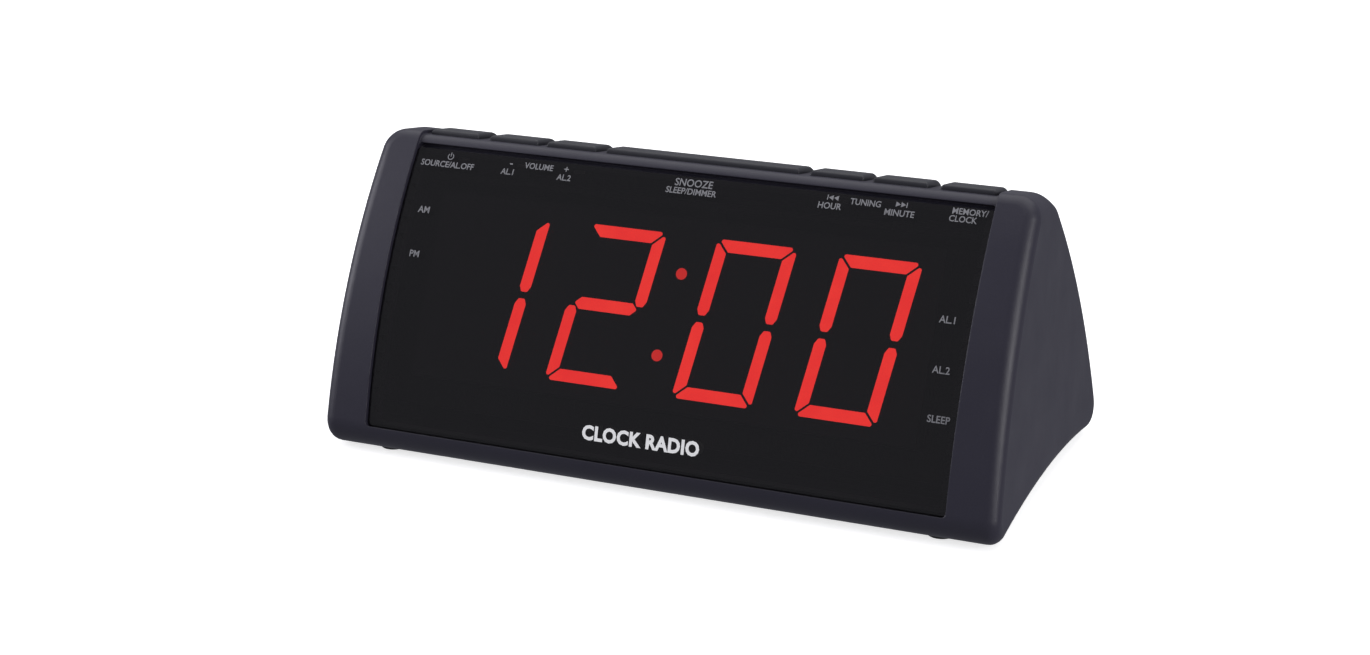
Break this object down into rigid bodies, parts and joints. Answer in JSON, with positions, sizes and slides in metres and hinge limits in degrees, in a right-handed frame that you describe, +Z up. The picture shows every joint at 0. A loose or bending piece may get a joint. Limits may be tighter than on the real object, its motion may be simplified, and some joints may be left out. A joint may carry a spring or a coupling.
{
  "type": "clock radio",
  "caption": "Wedge-shaped table clock radio with a large red LED time display behind a smoked lens, a row of top buttons and a rear speaker.",
  "frame": {"origin": "on the ground under the middle of the case", "axes": "+X along the length to the right of the display, +Y to the back, +Z up"},
  "size_m": [0.2046, 0.1062, 0.0878],
  "materials": {
    "case_plastic": "fine moulded texture, satin",
    "button_plastic": "satin moulded plastic",
    "lens_plastic": "smoked gloss acrylic",
    "foam_tape": "black foam tape",
    "black_plastic": "matte black moulding",
    "plunger_plastic": "ivory moulding",
    "lit_segment": "glowing red diffuser",
    "dark_segment": "unlit smoked diffuser",
    "led_chip": "moulded chip",
    "circuit_board": "green solder mask",
    "chip_black": "moulded epoxy",
    "bright_steel": "bright tinned steel",
    "screw_steel": "dark zinc plated",
    "heat_sink_aluminium": "satin extrusion",
    "capacitor_sleeve": "shrink sleeve",
    "ferrite": "dark sintered ferrite",
    "copper_wire": "enamelled copper winding",
    "cone_paper": "pressed black paper",
    "soft_rubber": "soft black rubber",
    "cell_jacket": "plain printed jacket",
    "blank_label": "plain silver film, blank",
    "ribbon": "flat ribbon cable",
    "lead_insulation": "insulated lead",
    "printed_ink": "screen-printed legends"
  },
  "bodies": {
    "case": {"cabinet": "case_plastic", "rear_cover": "case_plastic", "base_cover": "case_plastic", "display_lens": "lens_plastic", "lens_tape": "foam_tape", "display_block": "black_plastic", "speaker_basket": "black_plastic", "switch_housings": "black_plastic", "power_inlet": "black_plastic", "audio_jack": "black_plastic", "connectors": "black_plastic", "aerial_holders": "black_plastic", "lit_segments": "lit_segment", "colon_dots": "lit_segment", "unlit_segments": "dark_segment", "indicator_windows": "dark_segment", "led_chips": "led_chip", "display_board": "circuit_board", "button_board": "circuit_board", "main_board": "circuit_board", "radio_chip": "chip_black", "clock_chip": "chip_black", "amplifier_chip": "chip_black", "tuner_can": "bright_steel", "clock_crystal": "bright_steel", "power_pin": "bright_steel", "battery_contacts": "bright_steel", "rear_screws": "screw_steel", "base_screws": "screw_steel", "board_screws": "screw_steel", "speaker_screws": "screw_steel", "heat_sink": "heat_sink_aluminium", "capacitors": "capacitor_sleeve", "ferrite_rod": "ferrite", "speaker_magnet": "ferrite", "aerial_coil": "copper_wire", "speaker_surround": "soft_rubber", "aerial_grommet": "soft_rubber", "rubber_feet": "soft_rubber", "backup_cells": "cell_jacket", "rating_plate": "blank_label", "ribbon_cables": "ribbon", "speaker_leads": "lead_insulation"},
    "source_key": {"source_button": "button_plastic", "source_plunger": "plunger_plastic"},
    "volume_down_key": {"volume_down_button": "button_plastic", "volume_down_plunger": "plunger_plastic"},
    "volume_up_key": {"volume_up_button": "button_plastic", "volume_up_plunger": "plunger_plastic"},
    "snooze_key": {"snooze_button": "button_plastic", "snooze_plunger": "plunger_plastic"},
    "hour_key": {"hour_button": "button_plastic", "hour_plunger": "plunger_plastic"},
    "minute_key": {"minute_button": "button_plastic", "minute_plunger": "plunger_plastic"},
    "memory_key": {"memory_button": "button_plastic", "memory_plunger": "plunger_plastic"},
    "door": {"battery_door": "case_plastic"},
    "cone": {"speaker_cone": "cone_paper"}
  },
  "joints": [
    {"name": "source_press", "type": "slide", "parent": "case", "child": "source_key", "axis": [0, 0.1788, 0.9839], "range_m": [-0.0006, 0], "stiffness_N_per_m": 1500, "springref_m": 0.0002},
    {"name": "volume_down_press", "type": "slide", "parent": "case", "child": "volume_down_key", "axis": [0, 0.1788, 0.9839], "range_m": [-0.0006, 0], "stiffness_N_per_m": 1500, "springref_m": 0.0002},
    {"name": "volume_up_press", "type": "slide", "parent": "case", "child": "volume_up_key", "axis": [0, 0.1788, 0.9839], "range_m": [-0.0006, 0], "stiffness_N_per_m": 1500, "springref_m": 0.0002},
    {"name": "snooze_press", "type": "slide", "parent": "case", "child": "snooze_key", "axis": [0, 0.1788, 0.9839], "range_m": [-0.0006, 0], "stiffness_N_per_m": 1500, "springref_m": 0.0002},
    {"name": "hour_press", "type": "slide", "parent": "case", "child": "hour_key", "axis": [0, 0.1788, 0.9839], "range_m": [-0.0006, 0], "stiffness_N_per_m": 1500, "springref_m": 0.0002},
    {"name": "minute_press", "type": "slide", "parent": "case", "child": "minute_key", "axis": [0, 0.1788, 0.9839], "range_m": [-0.0006, 0], "stiffness_N_per_m": 1500, "springref_m": 0.0002},
    {"name": "memory_press", "type": "slide", "parent": "case", "child": "memory_key", "axis": [0, 0.1788, 0.9839], "range_m": [-0.0006, 0], "stiffness_N_per_m": 1500, "springref_m": 0.0002},
    {"name": "door_hinge", "type": "hinge", "parent": "case", "child": "door", "pos_m": [-0.052, 0.013, 0.0055], "axis": [1, 0, 0], "range_deg": [0, 75]},
    {"name": "cone_travel", "type": "slide", "parent": "case", "child": "cone", "axis": [0, 0.8406, 0.5417], "range_m": [-0.0005, 0.0005], "stiffness_N_per_m": 1200, "deforming": ["speaker_surround"]}
  ]
}
